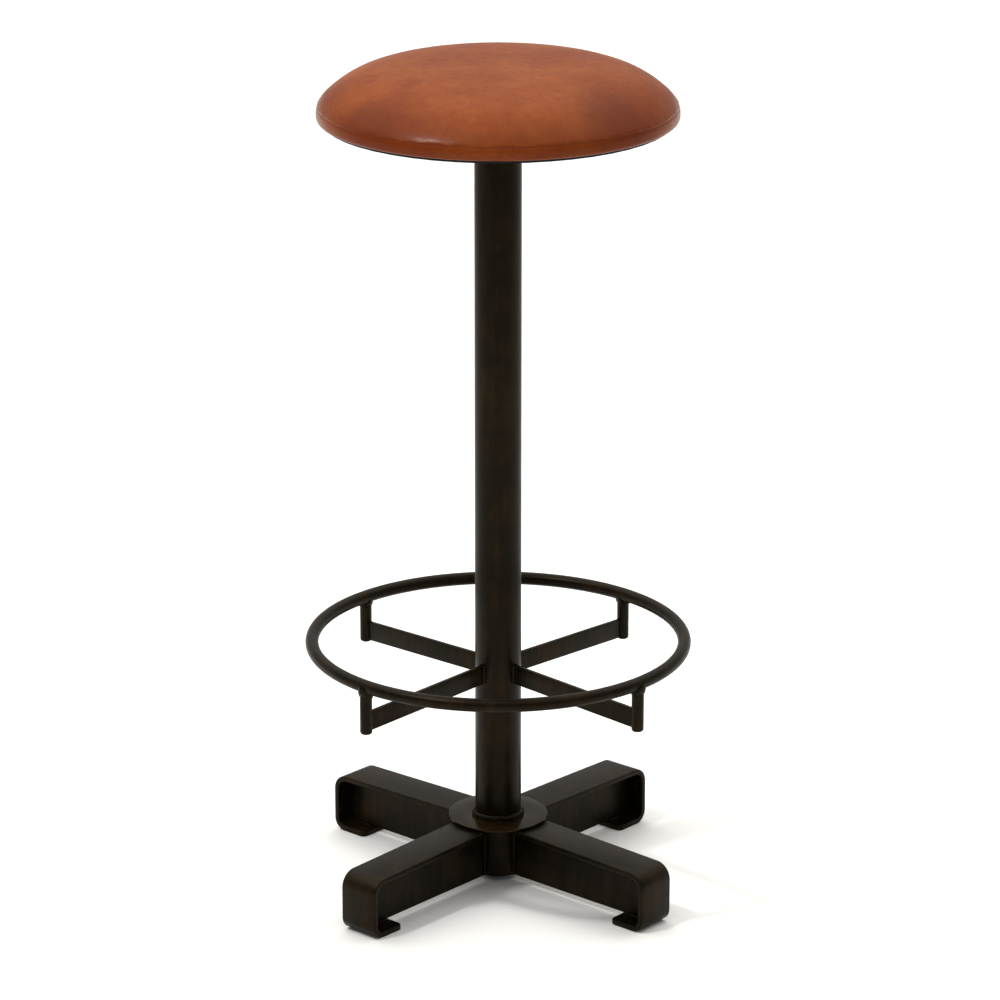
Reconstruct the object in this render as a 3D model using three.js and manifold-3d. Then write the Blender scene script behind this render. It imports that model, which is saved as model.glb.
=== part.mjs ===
// Bar stool with a ring footrest and a round leather seat that turns on its post.
// Millimetres, +Z up. The origin is on the post's axis, on the floor.

import * as THREE from "three";
import { mergeVertices } from "three/addons/utils/BufferGeometryUtils.js";
import Module from "manifold-3d";

const wasm = await Module();
wasm.setup();

// ---------- Driving dimensions ----------

const gap = 0.3; // between parts that touch
const roundSides = 64; // sides of the post and of the large discs
const seatSides = 48; // sides of the board, the foam and the leather
const pinSides = 48; // sides of the spindle and of what it runs in
const smallSides = 16; // sides of pegs, screws and small holes

// Post: a plain steel tube, open at both ends
const postRadius = 21.2;
const postWall = 2.6;
const postBottom = 5.5;
const postTop = 712.5;

// Base: four legs of bent flat bar, each stiffened by a plate on edge
const legTurn = 1.9; // degrees that the base is turned from the footrest's arms
const barWidth = 40;
const barThickness = 5;
const barEdgeChamfer = 0.6;
const legReach = 191; // from the post's axis to the leg's outer face
const legTopHeight = 59.9; // top face, carried on to the post's axis
const legSlope = 0.022; // fall of the top face for each millimetre outwards
const shoulderRadius = 15;
const heelRadius = 12;
const footLength = 37.5; // from the outer face to the tip of the foot
const footCornerRadius = 5;
const legInnerEnd = 22; // square end beside the post
const webThickness = 5;
const webBottom = 6;

const discRadius = 46;
const discThickness = 2;
const discBottom = 59.7;
const footWeldWidth = 1.9;
const footWeldHeight = 4.2;

// Footrest: a ring of round rod on four pegs, each held by an arm of flat bar
const ringRadius = 171;
const ringRodRadius = 6;
const ringHeight = 233;
const pegCircle = 172;
const pegRadius = 5.5;
const pegBottom = 188.5;
const armDepth = 18;
const armThickness = 4;
const armEdgeChamfer = 0.4;
const armHeightAtPost = 204.1; // middle of the bar
const armHeightAtPeg = 199.9;

// Seat: plywood board, foam and leather
const seatRadius = 161.4;
const seatEdgeHeight = 729; // where the leather is widest
const seatBottom = 723.5;
const domeRise = 39.4;
const domeFullness = 6; // a higher power gives a flatter top and a rounder shoulder
const shoulderPower = 0.817;
const crownRise = 6;
const leatherThickness = 1.6;
const leatherTurnIn = 138; // radius where the leather ends under the board
const leatherCornerRadius = 3;
const boardRadius = 155;
const boardThickness = 10;
const dustCoverRadius = 155.5;
const dustCoverThickness = 2.2;

// Swivel: a spindle under the seat that turns in two bushes in the post
const plateRadius = 55;
const plateThickness = 4;
const screwCircle = 40;
const screwCount = 4;
const screwShankRadius = 2.1;
const screwHeadRadius = 4.4;
const screwHeadHeight = 2.6;
const screwLength = 17;
const screwPointLength = 3;
const screwHoleRadius = 2.6;
const spindleRadius = 10;
const bushBoreRadius = 10.09; // the sides of the bore stay 0.07 clear of the spindle
const bushFlangeThickness = 1.8;
const upperBushLength = 28;
const lowerBushBottom = 612;
const lowerBushLength = 20;
const washerThickness = 1.5;
const spindleOverrun = 1; // below the lower bush
const retainerRadius = 16;
const retainerThickness = 2;
const boltRadius = 4;
const boltHeadAcrossFlats = 13;
const boltHeadHeight = 5.3;
const boltShankLength = 22;

// ---------- Levels worked out from them ----------

const boardBottom = seatBottom + leatherThickness + gap;
const boardTop = boardBottom + boardThickness;
const dustCoverTop = seatBottom - gap;
const dustCoverBottom = dustCoverTop - dustCoverThickness;
const plateTop = dustCoverBottom - gap;
const plateBottom = plateTop - plateThickness;
const bushFlangeBottom = postTop + gap;
const bushFlangeTop = bushFlangeBottom + bushFlangeThickness;
const spindleBottom = lowerBushBottom - spindleOverrun;
const retainerTop = spindleBottom - gap;
const boltHeadTop = retainerTop - retainerThickness - gap;
const postBoreRadius = postRadius - postWall;

// ---------- Materials ----------

function finish(colour, roughness, metalness) {
  return () => new THREE.MeshStandardMaterial({ color: colour, roughness, metalness });
}

const blackenedSteel = finish("#2f2a26", 0.38, 0.85);
const weldSteel = finish("#241f1b", 0.55, 0.8);
const zincSteel = finish("#b9bcc0", 0.35, 0.9);
const brightSteel = finish("#8d9094", 0.3, 0.95);
const bushNylon = finish("#e4e0d2", 0.5, 0);
const tanLeather = finish("#b5673a", 0.42, 0);
const birchPlywood = finish("#cfa873", 0.65, 0);
const creamFoam = finish("#e8dcb5", 0.9, 0);
const blackHardboard = finish("#17161a", 0.8, 0);

// ---------- Geometry helpers ----------

function toSolid(geometry) {
  const bare = geometry.clone();
  for (const name of Object.keys(bare.attributes)) {
    if (name !== "position") bare.deleteAttribute(name);
  }
  const merged = mergeVertices(bare, 1e-4);
  return new wasm.Manifold(
    new wasm.Mesh({
      numProp: 3,
      vertProperties: new Float32Array(merged.attributes.position.array),
      triVerts: new Uint32Array(merged.index.array),
    })
  );
}

function toGeometry(solid) {
  const mesh = solid.getMesh();
  const geometry = new THREE.BufferGeometry();
  geometry.setAttribute("position", new THREE.BufferAttribute(mesh.vertProperties, 3));
  geometry.setIndex(new THREE.BufferAttribute(mesh.triVerts, 1));
  geometry.computeVertexNormals();
  return geometry;
}

// A part turned on the Z axis from [radius, height] points. They run upwards on the
// outside, and they start and end on the axis unless closeLoop joins them up.
function turned(points, sides, closeLoop = false) {
  const profile = points.map(([radius, height]) => new THREE.Vector2(radius, height));
  if (closeLoop) profile.push(profile[0].clone());
  const geometry = new THREE.LatheGeometry(profile, sides);
  geometry.rotateX(Math.PI / 2);
  return geometry;
}

function ringBetween(innerRadius, outerRadius, bottom, top, sides) {
  const corners = [
    [innerRadius, bottom],
    [outerRadius, bottom],
    [outerRadius, top],
    [innerRadius, top],
  ];
  return turned(corners, sides, true);
}

function circlePoints(x, y, radius, sides) {
  const points = [];
  for (let side = 0; side < sides; side += 1) {
    const angle = (side * 2 * Math.PI) / sides;
    points.push(new THREE.Vector2(x + radius * Math.cos(angle), y + radius * Math.sin(angle)));
  }
  return points;
}

// A flat plate from bottom to bottom + thickness. Each hole is [x, y, radius, sides].
function flatPlate(outline, bottom, thickness, holes = []) {
  const shape = new THREE.Shape(outline);
  for (const hole of holes) shape.holes.push(new THREE.Path(circlePoints(...hole)));
  const geometry = new THREE.ExtrudeGeometry(shape, { depth: thickness, bevelEnabled: false });
  geometry.translate(0, 0, bottom);
  return geometry;
}

// A plate on edge: the outline is drawn in X and Z, and its thickness is along Y.
function uprightPlate(outline, thickness, chamfer) {
  const geometry = new THREE.ExtrudeGeometry(new THREE.Shape(outline), {
    depth: thickness - 2 * chamfer,
    bevelEnabled: chamfer > 0,
    bevelThickness: chamfer,
    bevelSize: chamfer,
    bevelOffset: -chamfer,
    bevelSegments: 1,
  });
  geometry.translate(0, 0, chamfer - thickness / 2);
  geometry.rotateX(Math.PI / 2);
  return geometry;
}

// Points of a closed outline whose corners [x, y, radius] are rounded by arcs.
function roundedOutline(corners) {
  const outline = [];
  const arcSteps = 8;
  corners.forEach(([x, y, radius], index) => {
    const corner = new THREE.Vector2(x, y);
    if (!radius) {
      outline.push(corner);
      return;
    }
    const before = corners.at(index - 1);
    const after = corners[(index + 1) % corners.length];
    const back = new THREE.Vector2(before[0] - x, before[1] - y).normalize();
    const ahead = new THREE.Vector2(after[0] - x, after[1] - y).normalize();
    const halfAngle = Math.acos(back.dot(ahead)) / 2;
    const middle = back.clone().add(ahead).normalize();
    const centre = corner.clone().addScaledVector(middle, radius / Math.sin(halfAngle));
    const tangentLength = radius / Math.tan(halfAngle);
    const start = corner.clone().addScaledVector(back, tangentLength).sub(centre);
    const end = corner.clone().addScaledVector(ahead, tangentLength).sub(centre);
    const sweep = Math.atan2(start.cross(end), start.dot(end));
    for (let step = 0; step <= arcSteps; step += 1) {
      const spoke = start.clone().rotateAround(new THREE.Vector2(), (sweep * step) / arcSteps);
      outline.push(spoke.add(centre));
    }
  });
  return outline;
}

function screwPlaces() {
  const places = [];
  for (let index = 0; index < screwCount; index += 1) {
    const angle = Math.PI / 4 + (index * 2 * Math.PI) / screwCount;
    places.push([screwCircle * Math.cos(angle), screwCircle * Math.sin(angle)]);
  }
  return places;
}

// ---------- Post and base ----------

function postTube() {
  return ringBetween(postBoreRadius, postRadius, postBottom, postTop, roundSides);
}

function baseDisc() {
  const top = discBottom + discThickness;
  return ringBetween(postRadius + gap, discRadius, discBottom, top, roundSides);
}

// Fillet weld between the post and the disc, a little convex.
function postFootWeld() {
  const inner = postRadius + gap;
  const bottom = discBottom + discThickness + gap;
  const profile = [
    [inner, bottom],
    [inner + footWeldWidth, bottom],
    [inner + footWeldWidth * 0.9, bottom + footWeldHeight * 0.4],
    [inner + footWeldWidth * 0.55, bottom + footWeldHeight * 0.8],
    [inner, bottom + footWeldHeight],
  ];
  return turned(profile, seatSides, true);
}

function legTopAt(reach) {
  return legTopHeight - legSlope * reach;
}

// The small piece outside a rounded corner of the foot's tip, seen from above.
function footCornerWaste(side) {
  const tip = legReach - footLength;
  const edge = (side * barWidth) / 2;
  const past = 1;
  const outline = roundedOutline([
    [tip - past, edge + side * past, 0],
    [tip - past, edge - side * footCornerRadius, 0],
    [tip, edge - side * footCornerRadius, 0],
    [tip, edge, footCornerRadius],
    [tip + footCornerRadius, edge, 0],
    [tip + footCornerRadius, edge + side * past, 0],
  ]);
  return flatPlate(outline, -past, barThickness + 2 * past);
}

function legStrip() {
  const innerFace = legReach - barThickness;
  const tip = legReach - footLength;
  const outline = roundedOutline([
    [legInnerEnd, legTopAt(legInnerEnd), 0],
    [legInnerEnd, legTopAt(legInnerEnd) - barThickness, 0],
    [innerFace, legTopAt(innerFace) - barThickness, shoulderRadius - barThickness],
    [innerFace, barThickness, heelRadius - barThickness],
    [tip, barThickness, 0],
    [tip, 0, 0],
    [legReach, 0, heelRadius],
    [legReach, legTopAt(legReach), shoulderRadius],
  ]);
  const strip = toSolid(uprightPlate(outline, barWidth, barEdgeChamfer));
  const rounded = [-1, 1].reduce(
    (solid, side) => solid.subtract(toSolid(footCornerWaste(side))),
    strip
  );
  return toGeometry(rounded);
}

// Stiffening plate between the strip's top, its outer end and its foot.
function legWeb() {
  const inner = postRadius + gap;
  const outer = legReach - barThickness - gap;
  const underTop = barThickness + gap;
  const outline = roundedOutline([
    [inner, webBottom, 0],
    [outer, webBottom, heelRadius - barThickness],
    [outer, legTopAt(outer) - underTop, shoulderRadius - barThickness + gap],
    [inner, legTopAt(inner) - underTop, 0],
  ]);
  return uprightPlate(outline, webThickness, 0);
}

// ---------- Footrest ----------

function footrestRing(rodRadius) {
  const ringSteps = 64;
  const rodSides = 12;
  const geometry = new THREE.TorusGeometry(ringRadius, rodRadius, rodSides, ringSteps);
  geometry.translate(0, 0, ringHeight);
  return geometry;
}

// A rod whose top is cut to fit the underside of the ring, and whose foot is rounded.
function footrestPeg() {
  const rounding = 2.5;
  const rod = turned(
    [
      [0, pegBottom],
      [pegRadius - rounding, pegBottom],
      [pegRadius - rounding * 0.3, pegBottom + rounding * 0.3],
      [pegRadius, pegBottom + rounding],
      [pegRadius, ringHeight],
      [0, ringHeight],
    ],
    smallSides
  );
  rod.translate(pegCircle, 0, 0);
  return toGeometry(toSolid(rod).subtract(toSolid(footrestRing(ringRodRadius + gap))));
}

// Flat bar on edge that falls a little from the post to its peg.
function footrestArm() {
  const inner = postRadius + gap;
  const outer = pegCircle - pegRadius - gap;
  const half = armDepth / 2;
  const outline = [
    new THREE.Vector2(inner, armHeightAtPost - half),
    new THREE.Vector2(outer, armHeightAtPeg - half),
    new THREE.Vector2(outer, armHeightAtPeg + half),
    new THREE.Vector2(inner, armHeightAtPost + half),
  ];
  return uprightPlate(outline, armThickness, armEdgeChamfer);
}

// ---------- Seat ----------

function domeHeight(radius, edgeRadius) {
  const part = radius / edgeRadius;
  const shoulder = Math.max(0, 1 - part ** domeFullness) ** shoulderPower;
  return domeRise * shoulder + crownRise * (1 - part ** 2) ** 2;
}

// Points of the seat's dome from its edge to its crown, set in from the leather's outside.
function domeProfile(inset) {
  const steps = 12;
  const edgeRadius = seatRadius - inset;
  const squeeze = 1 - inset / (domeRise + crownRise);
  const points = [];
  for (let step = 0; step <= steps; step += 1) {
    const angle = (step / steps) * (Math.PI / 2);
    const radius = step === steps ? 0 : edgeRadius * Math.cos(angle);
    points.push([radius, seatEdgeHeight + squeeze * domeHeight(radius, edgeRadius)]);
  }
  return points;
}

function seatBoard() {
  const disc = toSolid(
    turned(
      [
        [0, boardBottom],
        [boardRadius, boardBottom],
        [boardRadius, boardTop],
        [0, boardTop],
      ],
      seatSides
    )
  );
  const screwEnd = plateBottom - gap + screwLength;
  const drilled = screwPlaces().reduce((solid, [x, y]) => {
    const hole = new THREE.CylinderGeometry(
      screwShankRadius + gap,
      screwShankRadius + gap,
      2 * (screwEnd + gap - boardBottom),
      smallSides
    );
    hole.rotateX(Math.PI / 2);
    hole.translate(x, y, boardBottom);
    return solid.subtract(toSolid(hole));
  }, disc);
  return toGeometry(drilled);
}

// Foam over the board, with a thin skirt down round the board's edge.
function foamPad() {
  const inset = leatherThickness + gap;
  return turned(
    [
      [0, boardTop + gap],
      [boardRadius + gap, boardTop + gap],
      [boardRadius + gap, boardBottom],
      [seatRadius - inset, boardBottom],
      ...domeProfile(inset),
    ],
    seatSides
  );
}

// Leather drawn over the foam and turned in under the board.
function leatherCover() {
  const corner = leatherCornerRadius;
  const inside = domeProfile(leatherThickness).reverse();
  const wallInside = seatRadius - leatherThickness;
  const innerBottom = seatBottom + leatherThickness;
  return turned(
    [
      ...inside,
      [wallInside, innerBottom],
      [leatherTurnIn, innerBottom],
      [leatherTurnIn, seatBottom],
      [seatRadius - corner, seatBottom],
      [seatRadius - corner * 0.3, seatBottom + corner * 0.3],
      [seatRadius, seatBottom + corner],
      ...domeProfile(0),
    ],
    seatSides
  );
}

function screwHoles() {
  return screwPlaces().map(([x, y]) => [x, y, screwHoleRadius, smallSides]);
}

function dustCover() {
  const outline = circlePoints(0, 0, dustCoverRadius, seatSides);
  return flatPlate(outline, dustCoverBottom, dustCoverThickness, screwHoles());
}

// ---------- Swivel ----------

function flangePlate() {
  const outline = circlePoints(0, 0, plateRadius, roundSides);
  const spindleHole = [0, 0, spindleRadius + gap, pinSides];
  return flatPlate(outline, plateBottom, plateThickness, [spindleHole, ...screwHoles()]);
}

function seatScrew() {
  const headTop = plateBottom - gap;
  const headBottom = headTop - screwHeadHeight;
  const point = headTop + screwLength;
  return turned(
    [
      [0, headBottom],
      [screwHeadRadius * 0.6, headBottom],
      [screwHeadRadius, headBottom + screwHeadHeight * 0.5],
      [screwHeadRadius, headTop],
      [screwShankRadius, headTop],
      [screwShankRadius, point - screwPointLength],
      [0, point],
    ],
    smallSides
  );
}

// Solid bar through the flange plate, with a blind hole for the bolt in its lower end.
function spindle() {
  const holeRadius = boltRadius + gap;
  const holeTop = boltHeadTop + boltShankLength + 2;
  return turned(
    [
      [0, holeTop],
      [holeRadius, holeTop],
      [holeRadius, spindleBottom],
      [spindleRadius, spindleBottom],
      [spindleRadius, plateTop],
      [0, plateTop],
    ],
    pinSides
  );
}

function upperBush() {
  const sleeveRadius = postBoreRadius - gap;
  return turned(
    [
      [bushBoreRadius, postTop - upperBushLength],
      [sleeveRadius, postTop - upperBushLength],
      [sleeveRadius, bushFlangeBottom],
      [postRadius, bushFlangeBottom],
      [postRadius, bushFlangeTop],
      [bushBoreRadius, bushFlangeTop],
    ],
    pinSides,
    true
  );
}

function lowerBush() {
  const top = lowerBushBottom + lowerBushLength;
  return ringBetween(bushBoreRadius, postBoreRadius - gap, lowerBushBottom, top, pinSides);
}

function thrustWasher() {
  const bottom = bushFlangeTop + gap;
  return ringBetween(spindleRadius + 1, postRadius - 1, bottom, bottom + washerThickness, pinSides);
}

function retainingWasher() {
  const bottom = retainerTop - retainerThickness;
  return ringBetween(boltRadius + gap, retainerRadius, bottom, retainerTop, smallSides);
}

function spindleBolt() {
  const headRadius = boltHeadAcrossFlats / Math.sqrt(3);
  const head = new THREE.CylinderGeometry(headRadius, headRadius, boltHeadHeight, 6);
  head.rotateX(Math.PI / 2);
  head.translate(0, 0, boltHeadTop - boltHeadHeight / 2);
  const overlap = 1;
  const shankLength = boltShankLength + overlap;
  const shank = new THREE.CylinderGeometry(boltRadius, boltRadius, shankLength, smallSides);
  shank.rotateX(Math.PI / 2);
  shank.translate(0, 0, boltHeadTop - overlap + shankLength / 2);
  return toGeometry(toSolid(head).add(toSolid(shank)));
}

// ---------- Assembly ----------

const stool = new THREE.Group();

function place(parent, name, geometry, material) {
  const mesh = new THREE.Mesh(geometry, material());
  mesh.name = name;
  parent.add(mesh);
  return mesh;
}

// Four copies of a set of parts, turned round the post from the rear right.
function placeAround(offset, parts) {
  const corners = ["rear_right", "rear_left", "front_left", "front_right"];
  corners.forEach((corner, index) => {
    const group = new THREE.Group();
    group.rotation.z = THREE.MathUtils.degToRad(45 + offset + 90 * index);
    for (const [name, geometry] of parts) {
      place(group, `${name}_${corner}`, geometry, blackenedSteel);
    }
    stool.add(group);
  });
}

place(stool, "post_tube", postTube(), blackenedSteel);
place(stool, "base_disc", baseDisc(), blackenedSteel);
place(stool, "post_foot_weld", postFootWeld(), weldSteel);
placeAround(legTurn, [
  ["leg_strip", legStrip()],
  ["leg_web", legWeb()],
]);

place(stool, "footrest_ring", footrestRing(ringRodRadius), blackenedSteel);
placeAround(0, [
  ["footrest_peg", footrestPeg()],
  ["footrest_arm", footrestArm()],
]);

place(stool, "upper_bush", upperBush(), bushNylon);
place(stool, "lower_bush", lowerBush(), bushNylon);
place(stool, "thrust_washer", thrustWasher(), bushNylon);

const seat = new THREE.Group();
place(seat, "seat_spindle", spindle(), brightSteel);
place(seat, "retaining_washer", retainingWasher(), zincSteel);
place(seat, "spindle_bolt", spindleBolt(), zincSteel);
place(seat, "flange_plate", flangePlate(), blackenedSteel);
place(seat, "dust_cover", dustCover(), blackHardboard);
place(seat, "seat_board", seatBoard(), birchPlywood);
place(seat, "foam_pad", foamPad(), creamFoam);
place(seat, "leather_cover", leatherCover(), tanLeather);
screwPlaces().forEach(([x, y], index) => {
  place(seat, `seat_screw_${index + 1}`, seatScrew(), zincSteel).position.set(x, y, 0);
});
stool.add(seat);

export default stool;
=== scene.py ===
"""A bar stool built round its CAD frame: leather seat, tube post, ring footrest, bent bar base."""

import math

import bmesh
import bpy
from mathutils import Matrix, Vector, noise


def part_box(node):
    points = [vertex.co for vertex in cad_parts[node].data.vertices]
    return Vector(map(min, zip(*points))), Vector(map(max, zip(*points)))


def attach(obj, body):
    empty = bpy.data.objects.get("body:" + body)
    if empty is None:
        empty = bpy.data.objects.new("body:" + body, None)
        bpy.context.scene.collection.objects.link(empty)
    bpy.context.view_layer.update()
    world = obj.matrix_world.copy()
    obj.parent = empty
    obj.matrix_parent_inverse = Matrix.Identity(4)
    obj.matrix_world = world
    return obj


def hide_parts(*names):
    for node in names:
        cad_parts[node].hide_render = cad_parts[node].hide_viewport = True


bl_info = {
    "name": "Bar Stool with Footrest",
    "version": (1, 0, 0),
    "blender": (4, 5, 0),
    "location": "View3D > Sidebar > Bar Stool",
    "description": "Builds a leather bar stool with a ring footrest round its CAD frame",
    "category": "Add Mesh",
}

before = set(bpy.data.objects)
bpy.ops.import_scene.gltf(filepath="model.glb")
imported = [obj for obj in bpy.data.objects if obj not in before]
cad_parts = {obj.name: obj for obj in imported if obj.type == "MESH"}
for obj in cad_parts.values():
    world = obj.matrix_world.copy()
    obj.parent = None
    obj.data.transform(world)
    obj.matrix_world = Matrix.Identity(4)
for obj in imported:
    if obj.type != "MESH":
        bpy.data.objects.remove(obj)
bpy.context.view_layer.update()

MM = 0.001
CORNERS = ("rear_right", "rear_left", "front_left", "front_right")
FIRST_CORNER = 45  # degrees from +X to the rear right arm
STAPLES = 28  # round the dust cover, about 35 mm apart

POST_LOW, POST_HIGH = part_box("post_tube")
RING_LOW, RING_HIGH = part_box("footrest_ring")
DISC_LOW, DISC_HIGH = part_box("base_disc")
SEAT_LOW, SEAT_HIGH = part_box("leather_cover")
BOARD_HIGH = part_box("seat_board")[1]
DUST_LOW, DUST_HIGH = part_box("dust_cover")
PEG_LOW, PEG_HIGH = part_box("footrest_peg_rear_right")
WELD_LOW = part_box("post_foot_weld")[0]
ROD_RADIUS = (RING_HIGH.z - RING_LOW.z) / 2
RING_RADIUS = RING_HIGH.x - ROD_RADIUS
RING_HEIGHT = (RING_HIGH.z + RING_LOW.z) / 2
PEG_RADIUS = (PEG_HIGH.x - PEG_LOW.x) / 2
PEG_CIRCLE = math.hypot(*((PEG_LOW + PEG_HIGH) / 2).xy)  # from the post's axis to a peg's


def linear(code):
    """The linear colour, with full alpha, of an sRGB hex code."""
    channels = [int(code[i : i + 2], 16) / 255 for i in (1, 3, 5)]
    light = [c / 12.92 if c <= 0.04045 else ((c + 0.055) / 1.055) ** 2.4 for c in channels]
    return (*light, 1.0)


def length(name, description, default):
    """A size in metres for the sidebar."""
    return bpy.props.FloatProperty(
        name=name, description=description, default=default, min=0.0, precision=5, unit="LENGTH"
    )


def colour(name, description, code):
    """A colour for the sidebar."""
    return bpy.props.FloatVectorProperty(
        name=name, description=description, default=linear(code),
        size=4, min=0.0, max=1.0, subtype="COLOR",
    )


class StoolSizes(bpy.types.PropertyGroup):
    """Sizes of the stool's pieces that the frame leaves open."""

    post_wall: length("Post wall", "Wall thickness of the post tube", 2.6 * MM)
    post_easing: length("Post end easing", "Rounding of the tube's cut ends", 0.4 * MM)
    bar_width: length("Leg bar width", "Width of the flat bar that the legs are bent from", 40 * MM)
    bar_thickness: length("Leg bar thickness", "Thickness of the legs' flat bar", 5 * MM)
    bar_easing: length("Leg edge rounding", "Rounding of the flat bar's rolled edges", 0.9 * MM)
    leg_reach: length("Leg reach", "From the post's axis to a leg's outer face", 191 * MM)
    leg_top: length("Leg top height", "Height of the legs' top face carried on to the axis", 59.9 * MM)
    leg_slope: bpy.props.FloatProperty(
        name="Leg slope", description="Fall of a leg's top face for each unit outwards", default=0.022
    )
    leg_start: length("Leg start", "From the post's axis to a leg's inner end", 22 * MM)
    shoulder_radius: length("Shoulder bend", "Outer radius of a leg's upper bend", 15 * MM)
    heel_radius: length("Heel bend", "Outer radius of a leg's lower bend", 12 * MM)
    foot_length: length("Foot length", "From a leg's outer face to the tip of its foot", 37.5 * MM)
    foot_corner: length("Foot corner", "Rounding of the foot's two tip corners", 5 * MM)
    base_turn: bpy.props.FloatProperty(
        name="Base turn", description="Turn of the legs from the footrest's arms",
        default=math.radians(1.9), subtype="ANGLE",
    )
    disc_easing: length("Disc edge rounding", "Rounding of the base disc's edges", 0.5 * MM)
    peg_rounding: length("Peg foot rounding", "Rounding of the pegs' lower ends", 2.4 * MM)
    arm_depth: length("Arm depth", "Height of the footrest arms' flat bar", 18 * MM)
    arm_thickness: length("Arm thickness", "Thickness of the footrest arms' flat bar", 4 * MM)
    arm_easing: length("Arm edge rounding", "Rounding of the arms' rolled edges", 0.7 * MM)
    arm_at_post: length("Arm height at the post", "Height of an arm's middle at the post", 204.1 * MM)
    arm_at_peg: length("Arm height at the peg", "Height of an arm's middle at its peg", 199.9 * MM)
    web_thickness: length("Web thickness", "Thickness of the plates on edge under the legs", 5 * MM)
    weld_radius: length("Weld bead", "Radius of the small weld beads", 1.7 * MM)
    foot_bead_radius: length("Post weld", "Half the width of the bead round the post's foot", 2.1 * MM)
    collar_radius: length("Peg weld", "Half the width of the bead round a peg's top", 1.7 * MM)
    staple_wire: length("Staple wire", "Thickness of the staples' wire", 1.1 * MM)
    staple_crown: length("Staple crown", "Width of a staple's crown", 11 * MM)
    staple_inset: length("Staple inset", "From the dust cover's edge to its staples", 5 * MM)
    crease_height: length("Crease height", "Height of the leather's crease over the board's top", 1.1 * MM)
    crease_depth: length("Crease depth", "Depth of the leather's crease above the board's edge", 0.3 * MM)
    cover_cell: length("Cover cell", "Size of the cells that the leather is shaped on", 5 * MM)
    cover_swell: length("Cover swell", "Most that the leather may swell over the foam", 2.4 * MM)
    cover_flare: length("Cover flare", "How far the dome runs out above the crease", 2.1 * MM)
    rim_inset: length("Rim inset", "How far the dome's rim stays inside the band", 2.4 * MM)


class StoolColours(bpy.types.PropertyGroup):
    """Colours of the stool's finishes."""

    steel_dark: colour("Steel, dark", "Blackened steel under its lacquer", "#0e0903")
    steel_bronze: colour("Steel, bronze", "Brown bloom in the blackened steel", "#30220f")
    leather_main: colour("Leather, main", "Tan hide", "#853d12")
    leather_light: colour("Leather, light", "Hide where the dye is thinner", "#9b5420")
    # Also the colour of the painted shade low on the seat and on its right shoulder.
    leather_dark: colour("Leather, dark", "Hide where it took more dye", "#61250a")
    floor: colour("Floor", "Studio floor", "#f6f5f3")


# ---------- Modelling by hand ----------


def deselect():
    """Leave edit mode and deselect everything, so that an operator acts on its own piece only."""
    if bpy.context.mode != "OBJECT":
        bpy.ops.object.mode_set(mode="OBJECT")
    bpy.ops.object.select_all(action="DESELECT")


def take(piece):
    """Make a piece the only one that is selected."""
    deselect()
    piece.select_set(True)
    bpy.context.view_layer.objects.active = piece
    return piece


def pick(piece, kind, wanted):
    """In edit mode, select the vertices, edges or faces for which wanted() is true."""
    if bpy.context.mode == "OBJECT":
        bpy.ops.object.mode_set(mode="EDIT")
    bpy.ops.mesh.select_mode(type={"verts": "VERT", "edges": "EDGE", "faces": "FACE"}[kind])
    bpy.ops.mesh.select_all(action="DESELECT")
    shape = bmesh.from_edit_mesh(piece.data)
    found = [part for part in getattr(shape, kind) if wanted(part)]
    if not found:
        raise RuntimeError(f"nothing to select on {piece.name}")
    for part in found:
        part.select_set(True)
    bmesh.update_edit_mesh(piece.data)


def modify(piece, kind, **settings):
    """Add a modifier with its settings and apply it."""
    take(piece)
    modifier = piece.modifiers.new(kind.title(), kind)
    for name, value in settings.items():
        setattr(modifier, name, value)
    bpy.ops.object.modifier_apply(modifier=modifier.name)


def ease(piece, width, segments=3, angle=35):
    """Round the edges that are sharper than an angle."""
    modify(
        piece, "BEVEL", width=width, segments=segments,
        limit_method="ANGLE", angle_limit=math.radians(angle), miter_outer="MITER_ARC",
    )


def face_outwards(piece):
    """Merge doubled points, then turn every face outwards."""
    take(piece)
    bpy.ops.object.mode_set(mode="EDIT")
    bpy.ops.mesh.select_all(action="SELECT")
    bpy.ops.mesh.remove_doubles(threshold=0.005 * MM)
    bpy.ops.mesh.normals_make_consistent(inside=False)
    bpy.ops.object.mode_set(mode="OBJECT")


def complete(piece, name, body, slot, material, *nodes, smooth=35):
    """Put a finished piece's place into its mesh, give it its material, and tie it to its body and CAD
    nodes; the slot argument is not used.
    """
    take(piece)
    bpy.ops.object.transform_apply(location=True, rotation=True, scale=True)
    bpy.ops.object.shade_smooth_by_angle(angle=math.radians(smooth))
    piece.name = name
    piece.data.name = name
    piece.data.materials.clear()
    piece.data.materials.append(material)
    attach(piece, body)
    if nodes:
        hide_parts(*nodes)


def copies_round_post(piece, turn=0.0):
    """Turn a piece that lies along +X to the four corners, each copy with its own mesh."""
    take(piece)
    bpy.ops.object.transform_apply(location=True, rotation=True, scale=True)
    turned = []
    for quarter, corner in enumerate(CORNERS):
        twin = piece.copy()
        twin.data = piece.data.copy()
        bpy.context.collection.objects.link(twin)
        angle = math.radians(FIRST_CORNER + 90 * quarter) + turn
        twin.data.transform(Matrix.Rotation(angle, 4, "Z"))
        turned.append((corner, twin))
    bpy.data.objects.remove(piece)
    return turned


def joined(pieces):
    """One piece made of several."""
    deselect()
    for piece in pieces:
        piece.select_set(True)
    bpy.context.view_layer.objects.active = pieces[0]
    bpy.ops.object.join()
    return pieces[0]


def roughen(piece, amount, size):
    """Move a mesh's points along their normals by an uneven amount, as molten metal sets."""
    for point in piece.data.vertices:
        point.co += point.normal * amount * noise.noise(point.co / size)


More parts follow.
